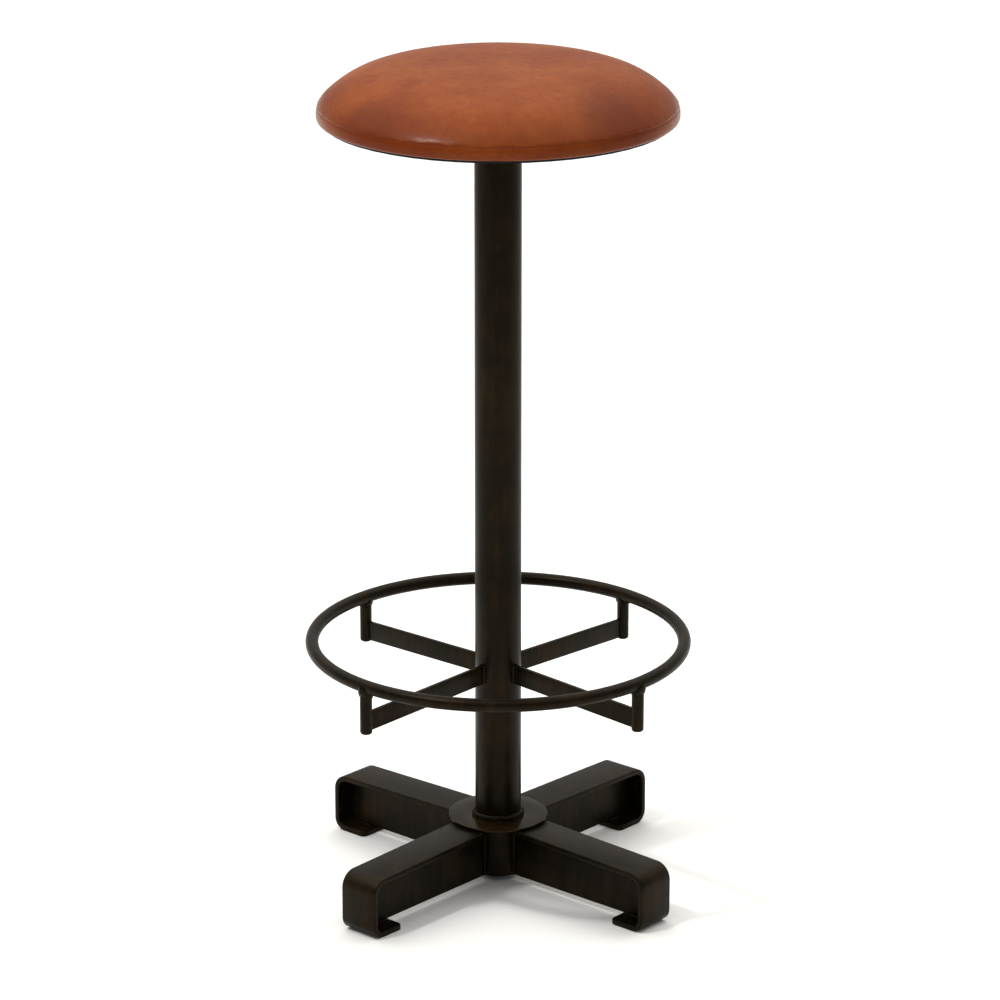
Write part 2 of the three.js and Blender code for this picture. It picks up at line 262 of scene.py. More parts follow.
def weld_bead(start, end, radius):
    """A straight weld bead: a row of overlapping ripples, thin at both ends."""
    ripple = 1.1 * MM
    tip, hollow = 0.45, 0.84  # shares of the radius, at the ends and between ripples
    run = end - start
    steps = max(6, 2 * round(run.length / ripple / 2))
    shares = [tip] + [1.0 if step % 2 else hollow for step in range(1, steps)] + [tip]
    deselect()
    bpy.ops.mesh.primitive_circle_add(
        vertices=12, radius=radius * shares[0], fill_type="NGON", location=start,
        rotation=run.to_track_quat("Z", "Y").to_euler(),
    )
    bead = bpy.context.object
    bpy.ops.object.mode_set(mode="EDIT")
    bpy.ops.mesh.select_mode(type="FACE")
    bpy.ops.mesh.select_all(action="SELECT")
    for step in range(steps):
        bpy.ops.mesh.extrude_region_move(TRANSFORM_OT_translate={"value": run / steps})
        bpy.ops.transform.resize(
            value=[shares[step + 1] / shares[step]] * 3,
            center_override=start + run * (step + 1) / steps,
        )
    face_outwards(bead)
    return bead


# ---------- Materials ----------


def add_node(tree, kind, values=None, **settings):
    """Add a node, set its settings, and set or link its inputs by name or number."""
    node = tree.nodes.new(kind)
    for name, value in settings.items():
        setattr(node, name, value)
    for socket, value in (values or {}).items():
        if isinstance(value, bpy.types.NodeSocket):
            tree.links.new(value, node.inputs[socket])
        else:
            node.inputs[socket].default_value = value
    return node


def new_material(name, **shader_values):
    """A material with its shader's constants set, and its tree, shader and object coordinates."""
    material = bpy.data.materials.new(name)
    material.use_nodes = True
    tree = material.node_tree
    shader = tree.nodes["Principled BSDF"]
    for socket, value in shader_values.items():
        shader.inputs[socket.replace("_", " ")].default_value = value
    place = add_node(tree, "ShaderNodeTexCoord").outputs["Object"]
    return material, tree, shader, place


def blackened_steel(colours, name="blackened_steel_lacquered", bloom=0.5, dullness=0.0, relief=1.0):
    """Hot-rolled steel, chemically blackened and lacquered: brown-black, with a faint bronze bloom."""
    material, tree, shader, place = new_material(
        name, Metallic=0.0, IOR=1.45, Specular_IOR_Level=0.23, Specular_Tint=(1.0, 0.83, 0.6, 1.0)
    )
    # Bloom in clouds 30 mm wide: the blacking takes unevenly, which shows as faint bronze patches.
    clouds = add_node(
        tree, "ShaderNodeTexNoise",
        {"Vector": place, "Scale": 1 / (30 * MM), "Detail": 7.0, "Roughness": 0.62},
    ).outputs[0]
    # Runs 7 mm wide and ten times as long, where blacking and lacquer drained down the metal.
    drawn = add_node(tree, "ShaderNodeMapping", {"Vector": place, "Scale": (1, 1, 0.1)}).outputs[0]
    runs = add_node(
        tree, "ShaderNodeTexNoise",
        {"Vector": drawn, "Scale": 1 / (7 * MM), "Detail": 4.0, "Roughness": 0.6},
    ).outputs[0]
    uneven = add_node(tree, "ShaderNodeMix", {0: 0.35, 2: clouds, 3: runs}).outputs[0]
    patches = add_node(
        tree, "ShaderNodeMapRange",
        {"Value": uneven, "From Min": 0.62 - 0.3 * bloom, "From Max": 0.88 - 0.3 * bloom},
        clamp=True,
    ).outputs[0]
    tint = add_node(
        tree, "ShaderNodeMix", {0: patches, 6: colours.steel_dark, 7: colours.steel_bronze},
        data_type="RGBA",
    ).outputs[2]
    tree.links.new(tint, shader.inputs["Base Color"])
    # Lacquer pooled in spots 2 mm wide, so that the gloss breaks up a little.
    pooling = add_node(
        tree, "ShaderNodeTexNoise", {"Vector": place, "Scale": 1 / (2 * MM), "Detail": 3.0}
    ).outputs[0]
    mixed = add_node(tree, "ShaderNodeMix", {0: 0.4, 2: clouds, 3: pooling}).outputs[0]
    gloss = add_node(
        tree, "ShaderNodeMapRange",
        {"Value": mixed, "From Min": 0.35, "From Max": 0.65,
         "To Min": 0.29 + dullness, "To Max": 0.43 + dullness},
    ).outputs[0]
    tree.links.new(gloss, shader.inputs["Roughness"])
    # Mill scale under the lacquer: a shallow pebbling 1.2 mm across.
    scale = add_node(
        tree, "ShaderNodeTexNoise", {"Vector": place, "Scale": 1 / (1.2 * MM), "Detail": 2.0}
    ).outputs[0]
    bump = add_node(
        tree, "ShaderNodeBump", {"Height": scale, "Strength": 0.1 * relief, "Distance": 0.3 * MM}
    ).outputs[0]
    tree.links.new(bump, shader.inputs["Normal"])
    return material


# Darker patches, as centre, reach, depth: on the right shoulder, a dye patch that also holds painted shade
# of the side turned from the softbox; low on the left, where the hide took more dye.
DYE_AND_SHADE_PATCHES = (
    (Vector((0.100, -0.105, 0.750)), 0.058, 0.6),
    (Vector((-0.116, -0.103, 0.741)), 0.046, 0.5),
)
PATCH_HEART = 0.012  # from a patch's centre to where it begins to fade


def tan_leather(colours):
    """Full-grain cowhide, aniline dyed by hand and waxed: cloudy tan with a soft gloss and fine grain."""
    material, tree, shader, place = new_material(
        "aniline_leather_waxed", IOR=1.45, Specular_IOR_Level=0.17, Coat_Weight=0.05, Coat_Roughness=0.22
    )
    # Dye clouds 70 mm wide, then 9 mm mottling inside them.
    clouds = add_node(
        tree, "ShaderNodeTexNoise",
        {"Vector": place, "Scale": 1 / (70 * MM), "Detail": 4.0, "Roughness": 0.55},
    ).outputs[0]
    deep = add_node(
        tree, "ShaderNodeMapRange",
        {"Value": clouds, "From Min": 0.36, "From Max": 0.62, "To Max": 0.75}, clamp=True,
    ).outputs[0]
    ground = add_node(
        tree, "ShaderNodeMix", {0: deep, 6: colours.leather_light, 7: colours.leather_main},
        data_type="RGBA",
    ).outputs[2]
    # Darken towards each patch: dye, and on the right shoulder painted shade as well.
    for centre, reach, depth in DYE_AND_SHADE_PATCHES:
        away = add_node(
            tree, "ShaderNodeVectorMath", {0: place, 1: centre}, operation="DISTANCE"
        ).outputs["Value"]
        near = add_node(
            tree, "ShaderNodeMapRange",
            {"Value": away, "From Min": reach, "From Max": PATCH_HEART, "To Max": depth},
            clamp=True, interpolation_type="SMOOTHSTEP",
        ).outputs[0]
        ground = add_node(
            tree, "ShaderNodeMix", {0: near, 6: ground, 7: colours.leather_dark}, data_type="RGBA"
        ).outputs[2]
    # Painted shade: darker towards the board's edge and over the band, where the seat turns down and away
    # from the overhead light.
    height = add_node(tree, "ShaderNodeSeparateXYZ", {"Vector": place}).outputs["Z"]
    lower = add_node(
        tree, "ShaderNodeMapRange",
        {"Value": height, "From Min": BOARD_HIGH.z + 30 * MM, "From Max": BOARD_HIGH.z,
         "To Max": 0.42},
        clamp=True, interpolation_type="SMOOTHSTEP",
    ).outputs[0]
    ground = add_node(
        tree, "ShaderNodeMix", {0: lower, 6: ground, 7: colours.leather_dark}, data_type="RGBA"
    ).outputs[2]
    mottle = add_node(
        tree, "ShaderNodeTexNoise",
        {"Vector": place, "Scale": 1 / (9 * MM), "Detail": 8.0, "Roughness": 0.78},
    ).outputs[0]
    speckle = add_node(
        tree, "ShaderNodeMapRange",
        {"Value": mottle, "From Min": 0.3, "From Max": 0.75, "To Max": 0.42}, clamp=True,
    ).outputs[0]
    tint = add_node(
        tree, "ShaderNodeMix", {0: speckle, 6: ground, 7: colours.leather_dark}, data_type="RGBA"
    ).outputs[2]
    tree.links.new(tint, shader.inputs["Base Color"])
    # Wax worn thinner in the clouds, so the gloss varies with them.
    gloss = add_node(
        tree, "ShaderNodeMapRange",
        {"Value": mottle, "From Min": 0.3, "From Max": 0.7, "To Min": 0.4, "To Max": 0.48},
    ).outputs[0]
    # The fold round the board's edge is burnished by hand, which polishes it.
    fold = add_node(
        tree, "ShaderNodeMapRange",
        {"Value": height, "From Min": BOARD_HIGH.z + 10 * MM, "From Max": BOARD_HIGH.z + 2 * MM},
        clamp=True,
    ).outputs[0]
    polished = add_node(
        tree, "ShaderNodeMath", {0: fold, 1: -0.2, 2: gloss}, operation="MULTIPLY_ADD"
    ).outputs[0]
    tree.links.new(polished, shader.inputs["Roughness"])
    # Grain cells 1.1 mm across, over soft unevenness 14 mm across where the hide is stretched.
    cells = add_node(
        tree, "ShaderNodeTexVoronoi", {"Vector": place, "Scale": 1 / (1.1 * MM)},
        feature="DISTANCE_TO_EDGE",
    ).outputs[0]
    furrow = add_node(
        tree, "ShaderNodeMapRange", {"Value": cells, "From Max": 0.16}, clamp=True
    ).outputs[0]
    grain = add_node(
        tree, "ShaderNodeBump", {"Height": furrow, "Strength": 0.16, "Distance": 0.12 * MM}
    ).outputs[0]
    stretch = add_node(
        tree, "ShaderNodeTexNoise", {"Vector": place, "Scale": 1 / (14 * MM), "Detail": 2.0}
    ).outputs[0]
    surface = add_node(
        tree, "ShaderNodeBump",
        {"Height": stretch, "Normal": grain, "Strength": 0.16, "Distance": 1.0 * MM},
    ).outputs[0]
    tree.links.new(surface, shader.inputs["Normal"])
    return material


def plain_finish(name, light, dark, spot, rough, metallic=0.0, stretch=(1.0, 1.0, 1.0)):
    """A finish of two close tones in clouds of one size, which may be drawn out along an axis."""
    material, tree, shader, place = new_material(name, Metallic=metallic)
    drawn = add_node(tree, "ShaderNodeMapping", {"Vector": place, "Scale": stretch}).outputs[0]
    cloud = add_node(
        tree, "ShaderNodeTexNoise", {"Vector": drawn, "Scale": 1 / spot, "Detail": 4.0}
    ).outputs[0]
    tint = add_node(
        tree, "ShaderNodeMix", {0: cloud, 6: linear(light), 7: linear(dark)}, data_type="RGBA"
    ).outputs[2]
    tree.links.new(tint, shader.inputs["Base Color"])
    gloss = add_node(
        tree, "ShaderNodeMapRange", {"Value": cloud, "To Min": rough - 0.08, "To Max": rough + 0.08}
    ).outputs[0]
    tree.links.new(gloss, shader.inputs["Roughness"])
    bump = add_node(
        tree, "ShaderNodeBump", {"Height": cloud, "Strength": 0.1, "Distance": 0.2 * MM}
    ).outputs[0]
    tree.links.new(bump, shader.inputs["Normal"])
    return material


def give(material, *nodes):
    """Give CAD nodes that stay in view their finish."""
    for name in nodes:
        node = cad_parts[name]
        node.data.materials.clear()
        node.data.materials.append(material)


def steel():
    """The lacquered blackened steel, made once."""
    made = bpy.data.materials.get("blackened_steel_lacquered")
    return made or blackened_steel(bpy.context.scene.bar_stool_colours)


def weld_steel():
    """The same finish over a weld: darker, with deeper relief, since scale is left under it."""
    made = bpy.data.materials.get("blackened_weld_lacquered")
    return made or blackened_steel(
        bpy.context.scene.bar_stool_colours, "blackened_weld_lacquered",
        bloom=0.3, dullness=-0.02, relief=4.0,
    )


# ---------- Pieces ----------


class STOOL_OT_post(bpy.types.Operator):
    """Model the post: a steel tube, open at both ends"""

    bl_idname = "bar_stool.post"
    bl_label = "Post"

    def execute(self, context):
        sizes = context.scene.bar_stool_sizes
        deselect()
        bpy.ops.mesh.primitive_cylinder_add(
            vertices=128, radius=POST_HIGH.x, depth=POST_HIGH.z - POST_LOW.z,
            end_fill_type="NOTHING", location=(0, 0, (POST_HIGH.z + POST_LOW.z) / 2),
        )
        post = context.object
        modify(post, "SOLIDIFY", thickness=sizes.post_wall, offset=-1.0)
        ease(post, sizes.post_easing, angle=60)
        complete(post, "post", "frame", "blackened_steel", steel(), "post_tube")
        return {"FINISHED"}


class STOOL_OT_base(bpy.types.Operator):
    """Model the four legs, bent from flat bar, and the disc that lies on them"""

    bl_idname = "bar_stool.base"
    bl_label = "Base"

    def execute(self, context):
        sizes = context.scene.bar_stool_sizes
        line = self.outer_line(sizes)
        half = sizes.bar_width / 2
        near = 0.01 * MM
        deselect()
        bpy.ops.mesh.primitive_plane_add(size=sizes.bar_width, location=(0, 0, 0))
        leg = context.object
        for side, (reach, height) in ((1, line[1]), (-1, line[0])):
            pick(leg, "edges", lambda edge: all(v.co.x * side > half * 0.9 for v in edge.verts))
            bpy.ops.transform.translate(value=(reach - side * half, 0, height))
        pick(leg, "edges", lambda edge: all(abs(v.co.x - line[1][0]) < near for v in edge.verts))
        for (reach, height), (next_reach, next_height) in zip(line[1:], line[2:]):
            bpy.ops.mesh.extrude_edges_move(
                TRANSFORM_OT_translate={"value": (next_reach - reach, 0, next_height - height)}
            )
        tip = line[-1][0]
        pick(leg, "verts", lambda v: abs(v.co.x - tip) < near and v.co.z < 1 * MM)
        bpy.ops.mesh.bevel(offset=sizes.foot_corner, segments=6, affect="VERTICES")
        bpy.ops.object.mode_set(mode="OBJECT")
        modify(leg, "SOLIDIFY", thickness=sizes.bar_thickness, offset=-1.0)
        face_outwards(leg)
        ease(leg, sizes.bar_easing)
        for corner, strip in copies_round_post(leg, sizes.base_turn):
            strip_node = f"leg_strip_{corner}"
            complete(strip, f"leg_{corner}", "frame", "blackened_steel", steel(), strip_node)
        give(steel(), *[f"leg_web_{corner}" for corner in CORNERS])
        self.disc(context, sizes)
        return {"FINISHED"}

    def outer_line(self, sizes):
        """Points of a leg's outer face, from the post out, down and back to the tip of the foot."""
        reach, steps = sizes.leg_reach, 10
        lean = math.atan(sizes.leg_slope)
        corner = sizes.leg_top - sizes.leg_slope * reach
        sweep = math.pi / 2 - lean
        run_in = sizes.shoulder_radius * math.tan(sweep / 2)
        shoulder = Vector((reach - sizes.shoulder_radius, corner - run_in))
        heel = Vector((reach - sizes.heel_radius, sizes.heel_radius))
        line = [(sizes.leg_start, sizes.leg_top - sizes.leg_slope * sizes.leg_start)]
        for step in range(steps + 1):
            angle = math.pi / 2 - lean - sweep * step / steps
            line.append(
                (shoulder.x + sizes.shoulder_radius * math.cos(angle),
                 shoulder.y + sizes.shoulder_radius * math.sin(angle))
            )
        for step in range(steps + 1):
            angle = -math.pi / 2 * step / steps
            line.append(
                (heel.x + sizes.heel_radius * math.cos(angle),
                 heel.y + sizes.heel_radius * math.sin(angle))
            )
        line.append((reach - sizes.foot_length, 0.0))
        return line

    def disc(self, context, sizes):
        """A thin plate with a hole for the post."""
        clear = 0.3 * MM
        deselect()
        bpy.ops.mesh.primitive_circle_add(
            vertices=128, radius=DISC_HIGH.x, fill_type="NGON", location=(0, 0, DISC_HIGH.z)
        )
        disc = context.object
        pick(disc, "faces", lambda face: True)
        bpy.ops.mesh.inset(thickness=DISC_HIGH.x - POST_HIGH.x - clear)
        bpy.ops.mesh.delete(type="FACE")
        bpy.ops.object.mode_set(mode="OBJECT")
        modify(disc, "SOLIDIFY", thickness=DISC_HIGH.z - DISC_LOW.z, offset=-1.0)
        face_outwards(disc)
        ease(disc, sizes.disc_easing)
        # The disc was heated by the weld round the post, so more bronze shows on it.
        heated = blackened_steel(
            context.scene.bar_stool_colours, "blackened_steel_heated", bloom=0.7, dullness=-0.16
        )
        complete(disc, "base_plate", "frame", "blackened_steel", heated, "base_disc")


class STOOL_OT_footrest(bpy.types.Operator):
    """Model the footrest: a ring of rod on four pegs, and the arms that carry them"""

    bl_idname = "bar_stool.footrest"
    bl_label = "Footrest"

    def execute(self, context):
        sizes = context.scene.bar_stool_sizes
        self.ring()
        self.pegs(sizes)
        self.arms(sizes)
        return {"FINISHED"}

    def ring(self):
        """A hoop of rod, with its two ends butt welded at the back and ground nearly flush."""
        deselect()
        bpy.ops.mesh.primitive_torus_add(
            major_radius=RING_RADIUS, minor_radius=ROD_RADIUS,
            major_segments=288, minor_segments=32, location=(0, 0, RING_HEIGHT),
        )
        ring = bpy.context.object
        half_seam, proud = 2.2 * MM, 1.035
        pick(ring, "verts", lambda v: abs(v.co.x) < half_seam and v.co.y > 0)
        bpy.ops.transform.resize(
            value=(1, proud, proud), center_override=(0, RING_RADIUS, RING_HEIGHT)
        )
        bpy.ops.object.mode_set(mode="OBJECT")
        complete(
            ring, "footrest_hoop", "frame", "blackened_steel", steel(), "footrest_ring", smooth=60
        )

    def pegs(self, sizes):
        """Four upright rods under the ring, each with its lower end rounded."""
        top = RING_HEIGHT - ROD_RADIUS * 0.4  # inside the ring's rod
        deselect()
        bpy.ops.mesh.primitive_cylinder_add(
            vertices=40, radius=PEG_RADIUS, depth=top - PEG_LOW.z,
            location=(PEG_CIRCLE, 0, (top + PEG_LOW.z) / 2),
        )
        peg = bpy.context.object
        pick(peg, "faces", lambda face: face.normal.z < -0.9)
        bpy.ops.mesh.bevel(offset=sizes.peg_rounding, segments=6, affect="EDGES")
        bpy.ops.object.mode_set(mode="OBJECT")
        for corner, rod in copies_round_post(peg):
            peg_node = f"footrest_peg_{corner}"
            complete(rod, f"peg_{corner}", "frame", "blackened_steel", steel(), peg_node)

    def arms(self, sizes):
        """Four flat bars on edge, from the post to the pegs, falling a little outwards."""
        clear = 0.1 * MM
        inner = POST_HIGH.x + clear
        outer = PEG_CIRCLE - PEG_RADIUS - clear
        deselect()
        bpy.ops.mesh.primitive_cube_add(
            size=1.0, location=((inner + outer) / 2, 0, sizes.arm_at_post),
            scale=(outer - inner, sizes.arm_thickness, sizes.arm_depth),
        )
        arm = bpy.context.object
        pick(arm, "faces", lambda face: face.normal.x > 0.9)
        bpy.ops.transform.translate(value=(0, 0, sizes.arm_at_peg - sizes.arm_at_post))
        bpy.ops.object.mode_set(mode="OBJECT")
        take(arm)
        bpy.ops.object.transform_apply(location=True, rotation=True, scale=True)
        ease(arm, sizes.arm_easing)
        for corner, bar in copies_round_post(arm):
            arm_node = f"footrest_arm_{corner}"
            complete(bar, f"arm_{corner}", "frame", "blackened_steel", steel(), arm_node)


class STOOL_OT_welds(bpy.types.Operator):
    """Lay the weld beads round the post's foot, at the arms' ends, under the ring and on the webs"""

    bl_idname = "bar_stool.welds"
    bl_label = "Welds"

    def execute(self, context):
        sizes = context.scene.bar_stool_sizes
        self.post_foot(sizes)
        self.lay("footrest_welds", [self.peg_collar(sizes), *self.arm_beads(sizes)], 0.0)
        self.lay("leg_welds", self.web_beads(sizes), sizes.base_turn)
        return {"FINISHED"}

    def lay(self, name, beads, turn):
        """Join one corner's beads, copy them to the four corners and roughen each in its own way."""
        for corner, group in copies_round_post(joined(beads), turn):
            roughen(group, 0.5 * MM, 1.6 * MM)
            complete(group, f"{name}_{corner}", "frame", "weld_steel", weld_steel(), smooth=60)

    def post_foot(self, sizes):
        """The bead round the post: a squat ring, rippled every 2.5 mm."""
        ripples, ripple_height = 56, 0.45 * MM
        height_share = 1.8  # the bead's height, as a share of its width
        deselect()
        bpy.ops.mesh.primitive_torus_add(
            major_radius=POST_HIGH.x + 0.3 * MM, minor_radius=sizes.foot_bead_radius,
            major_segments=336, minor_segments=16, location=(0, 0, WELD_LOW.z + 0.2 * MM),
        )
        bead = bpy.context.object
        bpy.ops.transform.resize(value=(1, 1, height_share))
        bpy.ops.object.transform_apply(location=True, rotation=True, scale=True)
        for point in bead.data.vertices:
            angle = math.atan2(point.co.y, point.co.x)
            ripple = abs(math.sin(angle * ripples / 2))
            point.co += point.normal * ripple_height * (ripple - 0.5)
        roughen(bead, 1.2 * MM, 5 * MM)
        complete(
            bead, "post_foot_bead", "frame", "weld_steel", weld_steel(), "post_foot_weld", smooth=60
        )

    def peg_collar(self, sizes):
        """A bead that follows the line where an upright peg meets the round rod."""
        height_share = 2.4  # the bead's height, as a share of its width
        deselect()
        bpy.ops.mesh.primitive_torus_add(
            major_radius=PEG_RADIUS - 0.2 * MM, minor_radius=sizes.collar_radius,
            major_segments=64, minor_segments=12, location=(0, 0, 0),
        )
        collar = bpy.context.object
        bpy.ops.transform.resize(value=(1, 1, height_share))
        bpy.ops.object.transform_apply(location=True, rotation=True, scale=True)
        for point in collar.data.vertices:
            across = min(abs(point.co.x), ROD_RADIUS * 0.92)
            point.co.z += RING_HEIGHT - math.sqrt(ROD_RADIUS**2 - across**2) - 0.3 * MM
            point.co.x += PEG_CIRCLE
        return collar

    def arm_beads(self, sizes):
        """Upright beads on both sides of an arm, at the post and at the peg."""
        half = sizes.arm_thickness / 2
        edge = sizes.arm_depth / 2
        beads = []
        for side in (-1, 1):
            for reach, off, middle, low, radius in (
                (POST_HIGH.x + 0.5 * MM, 0.5 * MM, sizes.arm_at_post, 0.5 * MM, sizes.weld_radius),
                (PEG_CIRCLE - PEG_RADIUS + 0.4 * MM, 0.2 * MM, sizes.arm_at_peg, 0.7 * MM,
                 sizes.weld_radius * 0.75),
            ):
                beads.append(weld_bead(
                    Vector((reach, side * (half + off), middle - edge + low)),
                    Vector((reach, side * (half + off), middle + edge - 0.3 * MM)),
                    radius,
                ))
        return beads

    def web_beads(self, sizes):
        """Beads on both sides of a web: along the leg's foot, and up the post."""
        foot_start, foot_end = sizes.leg_reach - 33 * MM, sizes.leg_reach - 13 * MM
        post_start, post_end = 8 * MM, 52 * MM
        half = sizes.web_thickness / 2
        floor_bead = sizes.bar_thickness + 0.4 * MM
        beads = []
        for side in (-1, 1):
            beads.append(weld_bead(
                Vector((foot_start, side * (half + 0.4 * MM), floor_bead)),
                Vector((foot_end, side * (half + 0.4 * MM), floor_bead)),
                sizes.weld_radius,
            ))
            beads.append(weld_bead(
                Vector((POST_HIGH.x + 0.9 * MM, side * (half + 0.6 * MM), post_start)),
                Vector((POST_HIGH.x + 0.9 * MM, side * (half + 0.6 * MM), post_end)),
                sizes.weld_radius,
            ))
        return beads


FULLNESS = 0.032  # how full the dome's shoulder is, as a share of the dome's height
FLARE_HEIGHT = 16 * MM  # over which the dome runs out to the band
CLOTH_FRAMES = 20


class STOOL_OT_cover(bpy.types.Operator):
    """Stretch the leather over the foam, crease it at the board's edge and turn it in underneath"""

    bl_idname = "bar_stool.cover"
    bl_label = "Leather cover"

    def execute(self, context):
        sizes = context.scene.bar_stool_sizes
        crease = BOARD_HIGH.z + sizes.crease_height
        skirt = 14 * MM  # carried on below the crease to hold the cloth, and cut off at the end
        margin = 1.5 * MM  # the cloth is held this far up from the crease
        spare = 1.2 * MM  # room left for the cloth to swell
        dome = bpy.data.objects.new("leather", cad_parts["foam_pad"].data.copy())
        context.collection.objects.link(dome)
        face_outwards(dome)
        take(dome)
        bpy.ops.object.mode_set(mode="EDIT")
        bpy.ops.mesh.select_all(action="SELECT")
        bpy.ops.mesh.bisect(
            plane_co=(0, 0, crease - 0.3 * MM), plane_no=(0, 0, 1), clear_inner=True, use_fill=True
        )
        pick(dome, "faces", lambda face: face.normal.z < -0.9)
        bpy.ops.mesh.extrude_region_move(TRANSFORM_OT_translate={"value": (0, 0, -skirt)})
        bpy.ops.object.mode_set(mode="OBJECT")
        modify(dome, "REMESH", mode="VOXEL", voxel_size=sizes.cover_cell)
        modify(dome, "SMOOTH", factor=0.5, iterations=6)
        self.fit(dome, crease, sizes.rim_inset, spare)
        self.swell(context, dome, crease + margin, sizes.cover_swell)
        modify(dome, "SMOOTH", factor=0.5, iterations=2)
        modify(dome, "SUBSURF", levels=1, render_levels=1)
        self.fit(dome, crease, sizes.rim_inset, 0.0, sizes.cover_flare, FULLNESS)
        self.turn_in(context, dome, crease, sizes.crease_depth)
        complete(
            dome, "leather_seat", "seat", "tan_leather", tan_leather(context.scene.bar_stool_colours),
            "leather_cover", "foam_pad", smooth=80,
        )
        return {"FINISHED"}

    def swell(self, context, dome, held_below, most):
        """Let the foam push the leather out as cloth, held along its lower edge."""
        start = [point.co.copy() for point in dome.data.vertices]
        outward = [point.normal.copy() for point in dome.data.vertices]
        held = dome.vertex_groups.new(name="held")
        held.add([i for i, co in enumerate(start) if co.z < held_below], 1.0, "REPLACE")
        cloth = dome.modifiers.new("Stretch", "CLOTH")
        cloth.settings.quality = 5
        cloth.settings.vertex_group_mass = "held"
        cloth.settings.tension_stiffness = 30.0
        cloth.settings.compression_stiffness = 30.0
        cloth.settings.bending_stiffness = 6.0
        cloth.settings.use_pressure = True
        cloth.settings.uniform_pressure_force = 4.0
        cloth.settings.effector_weights.gravity = 0.0
        for step in range(1, CLOTH_FRAMES + 1):
            context.scene.frame_set(step)
        take(dome)
        bpy.ops.object.modifier_apply(modifier="Stretch")
        context.scene.frame_set(1)
        for point, before, out in zip(dome.data.vertices, start, outward):
            moved = point.co - before
            inwards = min(moved.dot(out), 0.0)
            moved -= out * inwards
            if moved.length > most:
                moved *= most / moved.length
            point.co = before + moved

    def fit(self, dome, crease, inset, spare, flare=0.0, fullness=0.0):
        """Give the dome the frame's height and its radius at the crease, and run it out to the band."""
        top = max(point.co.z for point in dome.data.vertices)
        near_crease = [p.co for p in dome.data.vertices if abs(p.co.z - crease) < 2 * MM]
        rim_radius = max(co.xy.length for co in near_crease)
        lift = (SEAT_HIGH.z - spare - crease) / (top - crease)
        widen = (SEAT_HIGH.x - inset - spare) / rim_radius
        for point in dome.data.vertices:
            share = (point.co.z - crease) / (top - crease)
            share += fullness * math.sin(math.pi * max(share, 0.0) ** 4)
            above = share * (top - crease) * lift
            foot = 1 - min(max(above / FLARE_HEIGHT, 0.0), 1.0)
            out = widen + flare * foot * foot / rim_radius
            point.co.x *= out
            point.co.y *= out
            point.co.z = crease + above

    def turn_in(self, context, dome, crease, depth):
        """Cut the dome off at the crease, then draw the band and turn it in under the board."""
        take(dome)
        bpy.ops.object.mode_set(mode="EDIT")
        bpy.ops.mesh.select_all(action="SELECT")
        bpy.ops.mesh.bisect(plane_co=(0, 0, crease), plane_no=(0, 0, 1), clear_inner=True)
        bpy.ops.mesh.select_mode(type="EDGE")
        bpy.ops.mesh.select_all(action="DESELECT")
        bpy.ops.mesh.select_non_manifold()
        bpy.ops.mesh.remove_doubles(threshold=0.5 * MM)
        bpy.ops.mesh.select_all(action="DESELECT")
        bpy.ops.mesh.select_non_manifold()
        shape = bmesh.from_edit_mesh(dome.data)
        rim = [v for v in shape.verts if v.select]
        now = Vector((sum(v.co.xy.length for v in rim) / len(rim), crease))
        for v in rim:  # a true circle, so that the band drawn from it is smooth
            v.co.xy *= now.x / v.co.xy.length
        bmesh.update_edit_mesh(dome.data)
        widest = SEAT_HIGH.x
        low = SEAT_LOW.z
        # Radius and height, down the crease and the band, round its corner and in underneath.
        stations = (
            (now.x - depth * 0.6, crease - 0.4 * MM),
            (now.x - depth, crease - 0.8 * MM),
            (now.x - depth * 0.3, crease - 1.3 * MM),
            (now.x + (widest - now.x) * 0.35, crease - 2.1 * MM),
            (now.x + (widest - now.x) * 0.65, crease - 3.2 * MM),
            (now.x + (widest - now.x) * 0.88, crease - 4.8 * MM),
            (widest, crease - 7.2 * MM),
            (widest - 0.1 * MM, low + 3.2 * MM),
            (widest - 0.8 * MM, low + 1.4 * MM),
            (widest - 2.0 * MM, low + 0.4 * MM),
            (widest - 4.0 * MM, low),
            (widest - 12.0 * MM, low),
            (widest - 23.0 * MM, low),
            (widest - 24.0 * MM, low + 0.9 * MM),
        )
        for radius, height in stations:
            drop = height - now.y
            bpy.ops.mesh.extrude_edges_move(TRANSFORM_OT_translate={"value": (0, 0, drop)})
            ratio = radius / now.x
            bpy.ops.transform.resize(value=(ratio, ratio, 1), center_override=(0, 0, height))
            now = Vector((radius, height))
        bpy.ops.mesh.edge_face_add()
        bpy.ops.object.mode_set(mode="OBJECT")
        face_outwards(dome)


